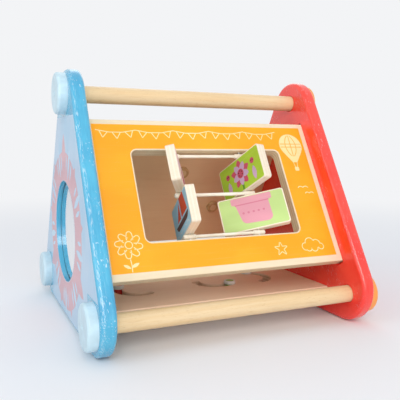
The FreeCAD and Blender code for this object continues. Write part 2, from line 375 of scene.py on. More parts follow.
@dataclass(frozen=True)
class Beech(Finish):
    """Clear-coated beech dowel: fine grain along X, small darker flecks and wider pale bands."""

    pale: Colour = ink(231, 204, 161)
    warm: Colour = ink(226, 194, 146)

    def material(self) -> bpy.types.Material:
        """Builds the wood.

        Returns:
            The finished material.
        """
        graph, at = self.start()
        bands = graph.noise(at, (7.0, 150.0, 150.0), 3.0, 0.5)
        pores = graph.noise(at, (60.0, 1500.0, 1500.0), 2.0)
        flecks = graph.band(graph.noise(at, (260.0, 1900.0, 1900.0), 0.0), 0.72, 0.80)
        wood = graph.blend(graph.band(bands, 0.34, 0.68), self.warm, self.pale)
        wood = graph.blend(graph.band(pores, 0.50, 0.80) * 0.35, wood, ink(196, 152, 102))
        wood = graph.blend(flecks * 0.30, wood, ink(178, 128, 84))
        return graph.finish(
            Base_Color=wood,
            Roughness=0.40 + pores * 0.2 - bands * 0.1,
            Normal=graph.bump(pores - flecks * 0.4 + bands * 0.3, 0.18, 0.3),
            Coat_Weight=0.18,
            Coat_Roughness=0.25,
        )


@dataclass(frozen=True)
class Plywood(Finish):
    """Clear-coated plywood, with Z at zero on its outer face and the plies below it."""

    thickness: float = TRIANGLE.panel_thick
    plies: int = 7
    contrast: float = 0.6
    face: Colour = ink(234, 216, 184)
    vein: Colour = ink(220, 191, 148)
    cross: Colour = ink(210, 178, 132)

    def material(self) -> bpy.types.Material:
        """Builds the face veneer's grain and the plies that its edges show.

        Returns:
            The finished material.
        """
        graph, at = self.start()
        _, _, depth = graph.split(at)
        figure = graph.noise(at, (9.0, 70.0, 9.0), 3.0, 1.2)
        fine = graph.noise(at, (45.0, 900.0, 900.0), 2.0)
        count = depth * ((0.28 - self.plies) / (self.thickness * MM)) + 0.14 + (fine - 0.5) * 0.2
        phase = graph.maths("FRACT", count * 0.5 + 10.0, 0.0)
        away = graph.maths("ABSOLUTE", phase - 0.75, 0.0)
        inner = graph.band(away, 0.26, 0.22)
        glue = graph.band(graph.maths("ABSOLUTE", away - 0.25, 0.0), 0.035, 0.01)
        end_grain = graph.noise(at, (700.0, 700.0, 90.0), 2.0)
        wood = graph.blend(graph.band(figure, 0.40, 0.74) * 0.20, self.face, self.vein)
        wood = graph.blend(graph.band(fine, 0.52, 0.80) * 0.16, wood, self.cross)
        cross = graph.blend(graph.band(end_grain, 0.30, 0.75), self.cross, self.vein)
        wood = graph.blend(inner * self.contrast, wood, cross)
        wood = graph.blend(glue * (self.contrast * 0.55), wood, ink(150, 108, 70))
        return graph.finish(
            Base_Color=wood,
            Roughness=0.50 + fine * 0.18 - 0.09,
            Specular_IOR_Level=0.3,
            Normal=graph.bump(fine + figure * 0.2 - glue * 0.3, 0.12, 0.2),
        )


@dataclass(frozen=True)
class PrintedInk(Finish):
    """Screen-printed ink on wood, with the grain telling through it, pinholes and thin patches."""

    colour: Colour = (0.5, 0.5, 0.5)
    patch: Optional[Colour] = None
    streak: float = 0.15
    gloss: float = 0.0

    def material(self) -> bpy.types.Material:
        """Builds the ink.

        Returns:
            The finished material.
        """
        graph, at = self.start()
        grain = graph.noise(at, (18.0, 600.0, 18.0), 3.0, 0.4)
        patches = graph.noise(at, (14.0, 26.0, 14.0), 2.0, 0.3)
        pinholes = graph.band(graph.noise(at, (1600.0, 1600.0, 1600.0), 0.0), 0.80, 0.86)
        other = self.patch or tuple(level * 0.88 for level in self.colour)
        base = graph.blend(graph.band(patches, 0.36, 0.68), other, self.colour)
        base = graph.blend(graph.band(grain, 0.55, 0.80) * self.streak, base, ink(246, 236, 214))
        base = graph.blend(pinholes * 0.4, base, ink(240, 222, 188))
        return graph.finish(
            Base_Color=base,
            Roughness=0.52 + grain * 0.2 - 0.06,
            Specular_IOR_Level=0.35,
            Normal=graph.bump(grain - pinholes * 0.4, 0.14, 0.25),
            Coat_Weight=self.gloss,
            Coat_Roughness=0.16,
        )


@dataclass(frozen=True)
class MirrorSheet(Finish):
    """Plastic mirror sheet: slightly wavy, with hair scratches, a soft haze and a dark rim: its sawn
    edge, darkened further with painted shade of the gap round the sheet.

    Its frame has its origin in the middle of the sheet. Lengths are in millimetres.
    """

    # The dark rim band, partly painted shade, fades in between these distances inside the sheet's
    # edge, in millimetres.
    rim_from: float = 1.8
    rim_to: float = 1.5

    def material(self) -> bpy.types.Material:
        """Builds the mirror.

        Returns:
            The finished material.
        """
        graph, at = self.start()
        wave = graph.noise(at, (14.0, 14.0, 14.0), 1.0)
        hairs = graph.band(graph.noise(at, (30.0, 1300.0, 30.0), 1.0, 0.8), 0.66, 0.72)
        haze = graph.noise(at, (60.0, 60.0, 60.0), 3.0)
        across, up, _ = graph.split(at)
        reach = graph.maths("SQRT", across * across + up * up, 0.0)
        # Painted shade: a dark, dull band round the edge stands for the shadow in the gap between
        # the sheet and its recess wall, as well as the sheet's own edge.
        rim = graph.band(reach, (TRIANGLE.mirror_radius - self.rim_from) * MM,
                         (TRIANGLE.mirror_radius - self.rim_to) * MM)
        glass = graph.blend(haze, ink(236, 239, 240), ink(248, 249, 248))
        return graph.finish(
            Base_Color=graph.blend(rim, glass, ink(30, 52, 64)),
            Metallic=1.0 - rim,
            Roughness=0.03 + hairs * 0.12 + haze * 0.04 + rim * 0.4,
            Normal=graph.bump(wave, 0.06, 0.6),
        )


@dataclass(frozen=True)
class MouldedCream(Finish):
    """Moulded cream plastic with a faint mould texture and rubbed places."""

    def material(self) -> bpy.types.Material:
        """Builds the plastic.

        Returns:
            The finished material.
        """
        graph, at = self.start()
        texture = graph.noise(at, (900.0, 900.0, 900.0), 2.0)
        rubbed = graph.noise(at, (50.0, 120.0, 120.0), 3.0)
        return graph.finish(
            Base_Color=graph.blend(graph.band(rubbed, 0.3, 0.75),
                                   ink(232, 220, 198), ink(248, 240, 224)),
            Roughness=0.30 + rubbed * 0.22,
            Normal=graph.bump(texture + rubbed * 0.5, 0.12, 0.2),
            Subsurface_Weight=0.08,
            Subsurface_Radius=(0.004, 0.003, 0.002),
        )


@dataclass(frozen=True)
class DrawnSteel(Finish):
    """Drawn steel wire, with the die's lines along it."""

    def material(self) -> bpy.types.Material:
        """Builds the metal.

        Returns:
            The finished material.
        """
        graph, at = self.start()
        lines = graph.noise(at, (12.0, 2600.0, 2600.0), 2.0)
        stain = graph.noise(at, (80.0, 80.0, 80.0), 3.0)
        return graph.finish(
            Base_Color=graph.blend(stain, ink(176, 178, 180), ink(206, 206, 204)),
            Metallic=1.0,
            Roughness=0.26 + lines * 0.16 + stain * 0.06,
            Normal=graph.bump(lines, 0.15, 0.1),
        )


def deselect() -> None:
    """Leaves edit mode and deselects every object."""
    if bpy.context.object is not None and bpy.context.object.mode != "OBJECT":
        bpy.ops.object.mode_set(mode="OBJECT")
    bpy.ops.object.select_all(action="DESELECT")


def settle() -> None:
    """Puts the selected object's place, turn and scale into its mesh."""
    bpy.ops.object.transform_apply(location=True, rotation=True, scale=True)


def edit_all() -> None:
    """Enters edit mode with the whole of the active mesh selected."""
    bpy.ops.object.mode_set(mode="EDIT")
    bpy.ops.mesh.select_all(action="SELECT")


def pick(*objects: bpy.types.Object) -> bpy.types.Object:
    """Selects only these objects and makes the first one active.

    Args:
        objects: what is selected.

    Returns:
        The first of them.
    """
    deselect()
    for piece in objects:
        piece.select_set(True)
    bpy.context.view_layer.objects.active = objects[0]
    return objects[0]


def thicken(shape: bpy.types.Object, height: float) -> bpy.types.Object:
    """Turns a flat shape into a closed sheet of this height in millimetres.

    Args:
        shape: the flat shape.
        height: how thick it becomes, in millimetres.

    Returns:
        The same object.
    """
    pick(shape)
    edit_all()
    bpy.ops.mesh.remove_doubles(threshold=WELD * MM)
    bpy.ops.mesh.extrude_region_move(TRANSFORM_OT_translate={"value": (0.0, 0.0, height * MM)})
    bpy.ops.mesh.select_all(action="SELECT")
    bpy.ops.mesh.normals_make_consistent(inside=False)
    bpy.ops.object.mode_set(mode="OBJECT")
    return shape


def repeat(shape: bpy.types.Object, number: int, x: float, y: float) -> bpy.types.Object:
    """Copies a shape round a centre until there are this many, in its own mesh.

    Args:
        shape: what is copied.
        number: how many there are in the end.
        x: the centre's X, in millimetres.
        y: the centre's Y, in millimetres.

    Returns:
        The same object.
    """
    pick(shape)
    edit_all()
    bpy.ops.mesh.spin(steps=number - 1, dupli=True, angle=math.tau * (number - 1) / number,
                      center=(x * MM, y * MM, 0.0), axis=(0.0, 0.0, 1.0))
    bpy.ops.object.mode_set(mode="OBJECT")
    return shape


def moved(shape: bpy.types.Object, x: float, y: float, turn: float = 0.0) -> bpy.types.Object:
    """Copies a shape with its own mesh, turns the copy about the sheet's origin and moves it.

    Args:
        shape: what is copied.
        x: how far along X it goes, in millimetres.
        y: how far along Y it goes, in millimetres.
        turn: the turn in degrees.

    Returns:
        The copy.
    """
    pick(shape)
    bpy.ops.object.duplicate(linked=False)
    copy = bpy.context.object
    copy.rotation_euler.z = math.radians(turn)
    copy.location = (x * MM, y * MM, 0.0)
    settle()
    return copy


def joined(*shapes: bpy.types.Object) -> bpy.types.Object:
    """Joins shapes to one object.

    Args:
        shapes: what is joined.

    Returns:
        The object that they now are.
    """
    pick(*shapes)
    if len(shapes) > 1:
        bpy.ops.object.join()
    return bpy.context.object


def combine(shape: bpy.types.Object, tool: bpy.types.Object, operation: str) -> bpy.types.Object:
    """Joins two solids to one, or takes one from the other, with an applied Boolean.

    Args:
        shape: the solid that stays.
        tool: the solid that is added or taken away, which is then deleted.
        operation: DIFFERENCE, UNION or INTERSECT.

    Returns:
        The solid that stays.
    """
    pick(shape)
    change = shape.modifiers.new("combine", "BOOLEAN")
    change.operation = operation
    change.object = tool
    change.solver = "EXACT"
    bpy.ops.object.modifier_apply(modifier=change.name)
    bpy.data.objects.remove(tool)
    return shape


def round_patch(x: float, y: float, radius: float, height: float,
                points: int = 40) -> bpy.types.Object:
    """A round sheet.

    Args:
        x: its place along the sheet's X, in millimetres.
        y: its place along the sheet's Y, in millimetres.
        radius: in millimetres.
        height: how thick it is, in millimetres.
        points: the number of its corners.

    Returns:
        The sheet.
    """
    deselect()
    bpy.ops.mesh.primitive_circle_add(vertices=points, radius=radius * MM, fill_type="NGON",
                                      location=(x * MM, y * MM, 0.0))
    settle()
    return thicken(bpy.context.object, height)


def slab_patch(x: float, y: float, width: float, depth: float, corner: float,
               height: float) -> bpy.types.Object:
    """A rectangular sheet with round corners.

    Args:
        x: its place along the sheet's X, in millimetres.
        y: its place along the sheet's Y, in millimetres.
        width: its size along X, in millimetres.
        depth: its size along Y, in millimetres.
        corner: the corners' radius, or 0 for sharp ones.
        height: how thick it is, in millimetres.

    Returns:
        The sheet.
    """
    deselect()
    bpy.ops.mesh.primitive_plane_add(size=MM, location=(x * MM, y * MM, 0.0))
    shape = bpy.context.object
    shape.scale = (width, depth, 1.0)
    settle()
    if corner > 0:
        edit_all()
        bpy.ops.mesh.bevel(offset=corner * MM, segments=6, affect="VERTICES")
    return thicken(shape, height)


class Pen:
    """Draws on a flat sheet: mesh operators push a nib forward and swing it round.

    A nib without width leaves a line of edges, which is filled when the drawing ends.
    """

    def __init__(self, x: float, y: float, heading: float, nib: float = 0.0) -> None:
        """Sets the nib down.

        Args:
            x: where it starts, in millimetres.
            y: where it starts, in millimetres.
            heading: the way that it goes, in degrees from the sheet's X.
            nib: its width in millimetres.
        """
        self.x, self.y, self.heading, self.nib = x, y, heading, nib
        deselect()
        bpy.ops.mesh.primitive_plane_add(size=(nib or 1.0) * MM, location=(x * MM, y * MM, 0.0),
                                         rotation=(0.0, 0.0, math.radians(heading)))
        settle()
        self.sheet = bpy.context.object
        bpy.ops.object.mode_set(mode="EDIT")
        bpy.ops.mesh.select_mode(type="VERT")
        if not nib:
            bpy.ops.mesh.merge(type="CENTER")
            return
        ahead = Vector((math.cos(math.radians(heading)), math.sin(math.radians(heading)), 0.0))
        start = Vector((x * MM, y * MM, 0.0))
        net = bmesh.from_edit_mesh(self.sheet.data)
        for vertex in net.verts:
            vertex.select = (vertex.co - start).dot(ahead) < 0
        net.select_flush_mode()
        bmesh.update_edit_mesh(self.sheet.data)
        bpy.ops.mesh.delete(type="VERT")
        bpy.ops.mesh.select_all(action="SELECT")
        back = -nib / 2 * MM
        bpy.ops.transform.translate(value=(ahead.x * back, ahead.y * back, 0.0))

    def forward(self, distance: float) -> "Pen":
        """Pushes the nib straight on."""
        turn = math.radians(self.heading)
        return self.to(self.x + distance * math.cos(turn), self.y + distance * math.sin(turn))

    def to(self, x: float, y: float) -> "Pen":
        """Pushes the nib straight to a place, without turning it.

        Args:
            x: where it goes, in millimetres.
            y: where it goes, in millimetres.

        Returns:
            The pen.
        """
        step = ((x - self.x) * MM, (y - self.y) * MM, 0.0)
        bpy.ops.mesh.extrude_region_move(TRANSFORM_OT_translate={"value": step})
        self.x, self.y = x, y
        return self

    def swing(self, radius: float, sweep: float) -> "Pen":
        """Swings the nib round, to the left for a positive sweep in degrees.

        Args:
            radius: of the arc, in millimetres.
            sweep: how far round it goes, in degrees.

        Returns:
            The pen.
        """
        side = 90.0 if sweep > 0 else -90.0
        across = math.radians(self.heading + side)
        centre_x = self.x + radius * math.cos(across)
        centre_y = self.y + radius * math.sin(across)
        steps = max(2, math.ceil(abs(sweep) / 15.0))
        bpy.ops.mesh.spin(steps=steps, angle=-math.radians(sweep), axis=(0.0, 0.0, 1.0),
                          center=(centre_x * MM, centre_y * MM, 0.0))
        self.heading += sweep
        turn = math.radians(self.heading - side)
        self.x = centre_x + radius * math.cos(turn)
        self.y = centre_y + radius * math.sin(turn)
        return self

    def corner(self, turn: float) -> "Pen":
        """Turns the way that the nib goes, with a round outer corner where it has a width.

        Args:
            turn: in degrees, to the left where it is positive.

        Returns:
            The pen.
        """
        if self.nib:
            return self.swing(self.nib / 2, turn)
        self.heading += turn
        return self

    def lift(self, height: float) -> bpy.types.Object:
        """Ends the drawing, fills it if the nib has no width, and thickens it.

        Args:
            height: how thick the drawing becomes, in millimetres.

        Returns:
            The drawing.
        """
        if not self.nib:
            bpy.ops.mesh.select_all(action="SELECT")
            bpy.ops.mesh.remove_doubles(threshold=0.02 * MM)
            bpy.ops.mesh.edge_face_add()
        return thicken(self.sheet, height)


def leaf(x: float, y: float, heading: float, length: float, bow: float,
         height: float) -> bpy.types.Object:
    """A pointed leaf from two arcs, each of which bends by bow degrees.

    Args:
        x: the root's X, in millimetres.
        y: the root's Y, in millimetres.
        heading: the way that it points, in degrees.
        length: from root to tip, in millimetres.
        bow: how far each edge bends, in degrees.
        height: how thick it is, in millimetres.

    Returns:
        The leaf.
    """
    radius = length / 2 / math.sin(math.radians(bow / 2))
    pen = Pen(x, y, heading - bow / 2).swing(radius, bow)
    pen.heading = heading + 180.0 - bow / 2
    return pen.swing(radius, bow).lift(height)


def stroke(x: float, y: float, heading: float, length: float, nib: float,
           height: float) -> bpy.types.Object:
    """A straight stroke of the pen."""
    return Pen(x, y, heading, nib).forward(length).lift(height)


@dataclass
class Print:
    """A picture on one face: sheets of ink, hundredths of a millimetre thick, laid in turn."""

    name: str
    body: str
    slot: str
    place: Matrix
    sink: float = 0.02
    sheets: list[tuple[bpy.types.Object, bpy.types.Material]] = field(default_factory=list)

    def add(self, shape: bpy.types.Object, material: bpy.types.Material) -> None:
        """Adds a sheet of one ink."""
        self.sheets.append((shape, material))

    def press(self) -> bpy.types.Object:
        """Joins the sheets to one piece and carries it to its face.

        Returns:
            The finished piece, riding on its body.
        """
        for shape, material in self.sheets:
            shape.data.materials.clear()
            shape.data.materials.append(material)
        piece = joined(*(shape for shape, _ in self.sheets))
        piece.name = piece.data.name = self.name
        piece.matrix_world = self.place @ Matrix.Translation((0.0, 0.0, -self.sink * MM))
        settle()
        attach(piece, self.body)
        LOG.info("%s: %d sheets on %s", self.name, len(self.sheets), self.body)
        return piece


def dress(node: str, material: bpy.types.Material) -> None:
    """Gives a carried-over node its material.

    Args:
        node: the node's name.
        material: what it gets.
    """
    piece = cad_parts[node]
    for slot in piece.material_slots:
        slot.material = material


@dataclass
class EndPlates:
    """The two painted plates with their caps, the mirror and the left plate's printed sheet."""

    corner_reach: float = 127.72
    film_corner: float = 33.0
    cap_reach: float = 139.72
    cap_clear: float = 23.5
    cap_slant: float = 0.866
    mirror_clear: float = 1.0
    wreath_radius: float = 85.0
    petals: int = 9
    petal_root: float = 50.0
    long_petal: float = 104.0
    short_petal: float = 92.0
    petal_bow: float = 80.0
    leaf_bow: float = 56.0
    ground_coat: float = 0.06
    wreath_coat: float = 0.09
    petal_coat: float = 0.10
    leaf_coat: float = 0.13
    leaves: tuple[tuple[float, float, float], ...] = (
        (20.0, 60.0, 32.0), (11.0, 64.0, 20.0), (29.0, 66.0, 17.0))

    def build(self) -> None:
        """Paints the plates and caps, and prints the left plate."""
        face = TRIANGLE.left_plate()
        blue = RunPaint("blue_gloss", face, ink(78, 178, 211), ink(58, 156, 196))
        # The red plate gets fewer of the painted glint highlights.
        red = RunPaint("red_gloss", face, ink(253, 70, 50), ink(238, 46, 34), glints=0.3)
        dress("left_plate", blue.material())
        dress("right_plate", red.material())
        middle = Matrix.Translation((-TRIANGLE.mirror_back * MM, TRIANGLE.mirror_rise * MM, 0.0))
        dress("mirror", MirrorSheet("mirror_sheet", face @ middle).material())
        pale_blue = SatinPaint("pale_blue_satin", face, ink(199, 225, 235))
        amber = SatinPaint("amber_satin", face, ink(250, 160, 74))
        for corner in ("top", "front", "rear"):
            dress("left_" + corner + "_cap", pale_blue.material())
            dress("right_" + corner + "_cap", amber.material())
        self.print_left(face)

    def print_left(self, face: Matrix) -> None:
        """Prints the left plate: a wreath of leaves round the mirror on a pale ground.

        Args:
            face: the frame of the face that is printed.
        """
        sheet = Print("left_plate_print", "housing", "blue_paint", face)
        upright = face @ Matrix.Rotation(math.pi / 2, 4, "Z")
        ground = PrintedInk("plate_ground", upright, ink(158, 197, 222), ink(178, 203, 224), 0.35,
                            0.5)
        sheet.add(self.film(), ground.material())
        pink = PrintedInk("plate_pink", face, ink(214, 168, 176), ink(206, 158, 166), 0.1,
                          0.5).material()
        pale = PrintedInk("plate_leaf", face, ink(170, 202, 226), ink(186, 214, 232), 0.2,
                          0.5).material()
        middle_x, middle_y = -TRIANGLE.mirror_back, TRIANGLE.mirror_rise
        wreath = round_patch(middle_x, middle_y, self.wreath_radius, self.wreath_coat, 72)
        sheet.add(combine(wreath, self.mirror_hole(0.2), "DIFFERENCE"), pink)
        for number in range(self.petals):
            angle = 90.0 + number * 360.0 / self.petals
            reach = self.long_petal if number % 3 == 0 else self.short_petal
            x = middle_x + self.petal_root * math.cos(math.radians(angle))
            y = middle_y + self.petal_root * math.sin(math.radians(angle))
            petal = leaf(x, y, angle, reach - self.petal_root, self.petal_bow, self.petal_coat)
            sheet.add(combine(petal, self.mirror_hole(0.4 + number * 0.02), "DIFFERENCE"), pink)
            for aside, start, length in self.leaves:
                x = middle_x + start * math.cos(math.radians(angle + aside))
                y = middle_y + start * math.sin(math.radians(angle + aside))
                height = self.leaf_coat + aside * 0.0002
                sheet.add(leaf(x, y, angle + aside, length, self.leaf_bow, height), pale)
        sheet.press()

    def film(self) -> bpy.types.Object:
        """The printed ground: a round-cornered triangle, cut away round the caps and the mirror.

        Returns:
            The printed ground.
        """
        side = 2 * self.corner_reach * math.sin(math.radians(60.0))
        slope = math.radians(30.0)
        pen = Pen(self.corner_reach * math.cos(slope) + self.film_corner * math.cos(slope),
                  -self.corner_reach * math.sin(slope) + self.film_corner * math.sin(slope), 120.0)
        for _ in range(3):
            pen.forward(side).swing(self.film_corner, 120.0)
        ground = pen.lift(self.ground_coat)
        wide, tall = 4 * self.cap_clear, 2 * self.cap_clear
        across = self.cap_reach * self.cap_slant + self.cap_clear
        foot = -self.cap_reach / 2 - self.cap_clear
        for cut in ((0.0, self.cap_reach, wide, tall), (across, foot, wide, wide),
                    (-across, foot, wide, wide)):
            ground = combine(ground, self.cutter(*cut), "DIFFERENCE")
        return combine(ground, self.mirror_hole(), "DIFFERENCE")

    def cutter(self, x: float, y: float, width: float, height: float) -> bpy.types.Object:
        """A thick square that cuts the sheet away round a cap.

        Args:
            x: its place along the sheet's X, in millimetres.
            y: its place along the sheet's Y, in millimetres.
            width: its size along X, in millimetres.
            height: its size along Y, in millimetres.

        Returns:
            The solid.
        """
        tool = slab_patch(x, y, width, height, 0.0, CUT)
        tool.location.z = -CUT / 2 * MM
        return tool

    def mirror_hole(self, margin: float = 0.0) -> bpy.types.Object:
        """A thick disc that cuts the sheet away over the mirror's recess.

        Args:
            margin: how much wider than the recess it is, in millimetres.

        Returns:
            The solid.
        """
        radius = TRIANGLE.mirror_radius + self.mirror_clear + margin
        tool = round_patch(-TRIANGLE.mirror_back, TRIANGLE.mirror_rise, radius, CUT, 96)
        tool.location.z = -CUT / 2 * MM
        return tool


@dataclass
class Bars:
    """The three dowels, and the turned pegs and washers of the gears."""

    def build(self) -> None:
        """Dresses the dowels, pegs and washers in clear-coated beech."""
        for number, name in enumerate(("top", "front", "rear")):
            offset = Matrix.Translation((0.37 * number, 0.11 * number, 0.0))
            dress(name + "_bar", Beech("beech_" + name, offset).material())
        out = Side.REAR.matrix() @ Matrix.Rotation(math.pi / 2, 4, "Y")
        turned = Beech("beech_turned", out).material()
        darker = Beech("beech_washer", out, ink(216, 178, 128), ink(196, 154, 104)).material()
        for gear in ("large", "small"):
            dress(gear + "_gear_peg", turned)
            dress(gear + "_gear_washer", darker)


@dataclass
class FrontPanel:
    """The front panel: plywood with an orange printed field and a line drawing round its window."""

    field_left: float = -124.5
    field_right: float = 124.5
    field_foot: float = -79.4
    field_top: float = 79.7
    field_corner: float = 0.6
    field_coat: float = 0.06
    window_line: float = 1.5
    window_corner: float = 7.5
    nib: float = 0.9
    line_height: float = 0.10

    def build(self) -> None:
        """Dresses the panel, its axles and spacers, and prints the field and the drawing."""
        face = TRIANGLE.on_face(Side.FRONT)
        dress("front_panel", Plywood("front_plywood", face).material())
        upright = Side.FRONT.matrix() @ Matrix.Rotation(math.pi / 2, 4, "Z")
        steel = DrawnSteel("drawn_steel", upright)
        for name in ("left", "right"):
            dress(name + "_axle", steel.material())
        cream = MouldedCream("moulded_cream").material()
        for name in ("top", "middle", "bottom"):
            dress(name + "_spacer", cream)
        self.print_field(face)
        self.print_drawing(face)

    def print_field(self, face: Matrix) -> None:
        """Prints the orange field with the window left out.

        Args:
            face: the frame of the face that is printed.
        """
        ground = slab_patch((self.field_left + self.field_right) / 2,
                            (self.field_foot + self.field_top) / 2,
                            self.field_right - self.field_left,
                            self.field_top - self.field_foot, self.field_corner, self.field_coat)
        opening = slab_patch(0.0, TRIANGLE.window_middle,
                             TRIANGLE.window_width + 2 * self.window_line,
                             TRIANGLE.window_height + 2 * self.window_line, self.window_corner, CUT)
        opening.location.z = -CUT / 2 * MM
        sheet = Print("front_panel_field", "housing", "orange_print", face)
        sheet.add(combine(ground, opening, "DIFFERENCE"), self.orange("orange_field", face))
        sheet.press()

    def orange(self, name: str, face: Matrix) -> bpy.types.Material:
        """The orange ink of the field and of the lines drawn over its pictures."""
        return PrintedInk(name, face, ink(255, 172, 30), ink(255, 164, 24), 0.05).material()

    def print_drawing(self, face: Matrix) -> None:
        """Draws pennants on a line, a balloon, a daisy, a cloud, a star and two birds.

        Args:
            face: the frame of the face that is printed.
        """
        sheet = Print("front_panel_drawing", "housing", "plywood", face)
        bare = PrintedInk("bare_line", face, ink(255, 230, 172), ink(252, 220, 154), 0.2).material()
        orange = self.orange("orange_line", face)
        for shape in (*self.pennants(), *self.daisy(-105.0, -52.0), self.cloud(97.0, -66.0),
                      self.star(58.0, -66.5, 6.0), *self.birds(106.0, 2.0)):
            sheet.add(shape, bare)
        for shape in self.balloon(106.5, 56.0, 15.0):
            sheet.add(shape, bare)
        for shape in self.balloon_seams(106.5, 56.0, 15.0):
            sheet.add(shape, orange)
        sheet.press()

    def pennants(self) -> list[bpy.types.Object]:
        """A line that hangs in swags along the top band, with small flags on it.

        Returns:
            The line and its flags.
        """
        chord, bend, start_x, start_y = 42.0, 34.0, -121.0, 73.0
        radius = chord / 2 / math.sin(math.radians(bend / 2))
        line = Pen(start_x, start_y, -bend / 2, self.nib)
        made = []
        for swag in range(5):
            line.swing(radius, bend)
            if swag < 4:
                line.corner(-bend)
                line.x, line.y = start_x + (swag + 1) * chord, line.y
        made.append(line.lift(self.line_height))
        flag = Pen(-3.6, 0.0, -60.0, self.nib).forward(7.6).corner(120.0).forward(7.6)
        flag = flag.lift(self.line_height + LAP)
        for swag in range(5):
            for share in (-0.32, 0.0, 0.32):
                x = start_x + (swag + 0.5 + share) * chord
                drop = radius * (math.cos(math.radians(bend * share))
                                 - math.cos(math.radians(bend / 2)))
                made.append(moved(flag, x, start_y - drop, share * bend))
        bpy.data.objects.remove(flag)
        return made

    def daisy(self, x: float, y: float) -> list[bpy.types.Object]:
        """A flower in lines, with eight looped petals, a stem and two leaves.

        Args:
            x: its place along the sheet's X, in millimetres.
            y: its place along the sheet's Y, in millimetres.

        Returns:
            Its parts.
        """
        petal = Pen(x - 1.4, y + 4.9, 100.0, self.nib)
        petal.swing(13.0, -30.0).swing(2.6, -140.0).swing(13.0, -30.0)
        petals = repeat(petal.lift(self.line_height), 8, x, y)
        middle = Pen(x + 3.6, y, 90.0, self.nib).swing(3.6, 360.0).lift(self.line_height + LAP)
        stem = Pen(x - 0.5, y - 14.0, -80.0, self.nib).swing(40.0, -18.0).lift(self.line_height)
        leaves = [leaf(x - 0.6, y - 22.0, 25.0, 9.0, 80.0, self.line_height + LAP),
                  leaf(x - 1.0, y - 23.0, 150.0, 8.0, 80.0, self.line_height + LAP)]
        return [petals, middle, stem, *leaves]

    def cloud(self, x: float, y: float) -> bpy.types.Object:
        """A cloud's outline: round lobes joined, less the same lobes drawn smaller.

        Args:
            x: its place along the sheet's X, in millimetres.
            y: its place along the sheet's Y, in millimetres.

        Returns:
            The outline.
        """
        lobes = ((-9.0, -1.5, 4.6), (-2.5, 2.2, 6.2), (5.5, 0.8, 5.2), (10.5, -2.4, 3.8),
                 (2.0, -3.4, 4.6), (-5.0, -3.4, 4.0))
        whole = self.merged_lobes(x, y, lobes, 0.0)
        return combine(whole, self.merged_lobes(x, y, lobes, self.nib), "DIFFERENCE")

    def merged_lobes(self, x: float, y: float, lobes: Sequence[tuple[float, float, float]],
                     inset: float) -> bpy.types.Object:
        """Joins round lobes to one solid, which is taller where it is inset, to cut with.

        Args:
            x: its place along the sheet's X, in millimetres.
            y: its place along the sheet's Y, in millimetres.
            lobes: each lobe's place from there and its radius.
            inset: how much smaller each lobe is drawn, in millimetres.

        Returns:
            The solid.
        """
        height = self.line_height + (CUT if inset else 0.0)
        made = None
        for right, up, radius in lobes:
            lobe = round_patch(x + right, y + up, radius - inset, height, 28)
            lobe.location.z = -CUT / 2 * MM if inset else 0.0
            settle()
            made = lobe if made is None else combine(made, lobe, "UNION")
        return made

    def star(self, x: float, y: float, size: float) -> bpy.types.Object:
        """A five-pointed star's outline.

        Args:
            x: its place along the sheet's X, in millimetres.
            y: its place along the sheet's Y, in millimetres.
            size: from its middle to a tip, in millimetres.

        Returns:
            The outline.
        """
        edge = size * 0.75
        pen = Pen(x, y + size, -72.0, self.nib)
        for point in range(5):
            pen.forward(edge).corner(72.0).forward(edge)
            if point < 4:
                pen.corner(-144.0)
        return pen.lift(self.line_height)

    def birds(self, x: float, y: float) -> list[bpy.types.Object]:
        """Two small gulls.

        Args:
            x: its place along the sheet's X, in millimetres.
            y: its place along the sheet's Y, in millimetres.

        Returns:
            The two birds.
        """
        made = []
        for right, up, size in ((0.0, 0.0, 4.2), (6.5, -7.0, 3.4)):
            pen = Pen(x + right - size * 1.4, y + up - 0.4, 55.0, self.nib).swing(size, -100.0)
            made.append(pen.corner(90.0).swing(size, -100.0).lift(self.line_height))
        return made

    def balloon(self, x: float, y: float, radius: float) -> list[bpy.types.Object]:
        """A hot-air balloon as a solid shape with its ropes and basket.

        Args:
            x: its place along the sheet's X, in millimetres.
            y: its place along the sheet's Y, in millimetres.
            radius: of its round top, in millimetres.

        Returns:
            Its parts.
        """
        taper, neck = math.radians(35.0), 3.0
        length = (radius * math.cos(taper) - neck) / math.sin(taper)
        foot = y - radius * math.sin(taper) - length * math.cos(taper)
        pen = Pen(x + neck, foot, 90.0 - 35.0).forward(length)
        pen.heading = 90.0 - 35.0
        envelope = pen.swing(radius, 250.0).forward(length).lift(self.line_height)
        ropes = [stroke(x - neck + 0.5, foot, -80.0, 6.0, 0.7, self.line_height),
                 stroke(x + neck - 0.5, foot, -100.0, 6.0, 0.7, self.line_height)]
        basket = slab_patch(x, foot - 8.4, 5.4, 5.0, 1.2, self.line_height + LAP)
        return [envelope, *ropes, basket]

    def balloon_seams(self, x: float, y: float, radius: float) -> list[bpy.types.Object]:
        """The lines that part the balloon's gores and a band round it.

        Args:
            x: its place along the sheet's X, in millimetres.
            y: its place along the sheet's Y, in millimetres.
            radius: of its round top, in millimetres.

        Returns:
            The lines.
        """
        height = self.line_height + 0.03
        top = y + radius - 1.5
        span = 2 * radius * 0.92
        made = [stroke(x, top, -90.0, span, 0.8, height)]
        for side in (-1, 1):
            bend = 88.0
            reach = (span * 0.98) / 2 / math.sin(math.radians(bend / 2))
            pen = Pen(x + side * 1.6, top - 0.3, -90.0 + side * bend / 2, 0.8)
            made.append(pen.swing(reach, -side * bend).lift(height + LAP))
        reach = radius * 0.93
        for up in (-2.0, 2.0):
            made.append(stroke(x - reach, y + up, 0.0, 2 * reach, 0.8, height + 2 * LAP))
        return made


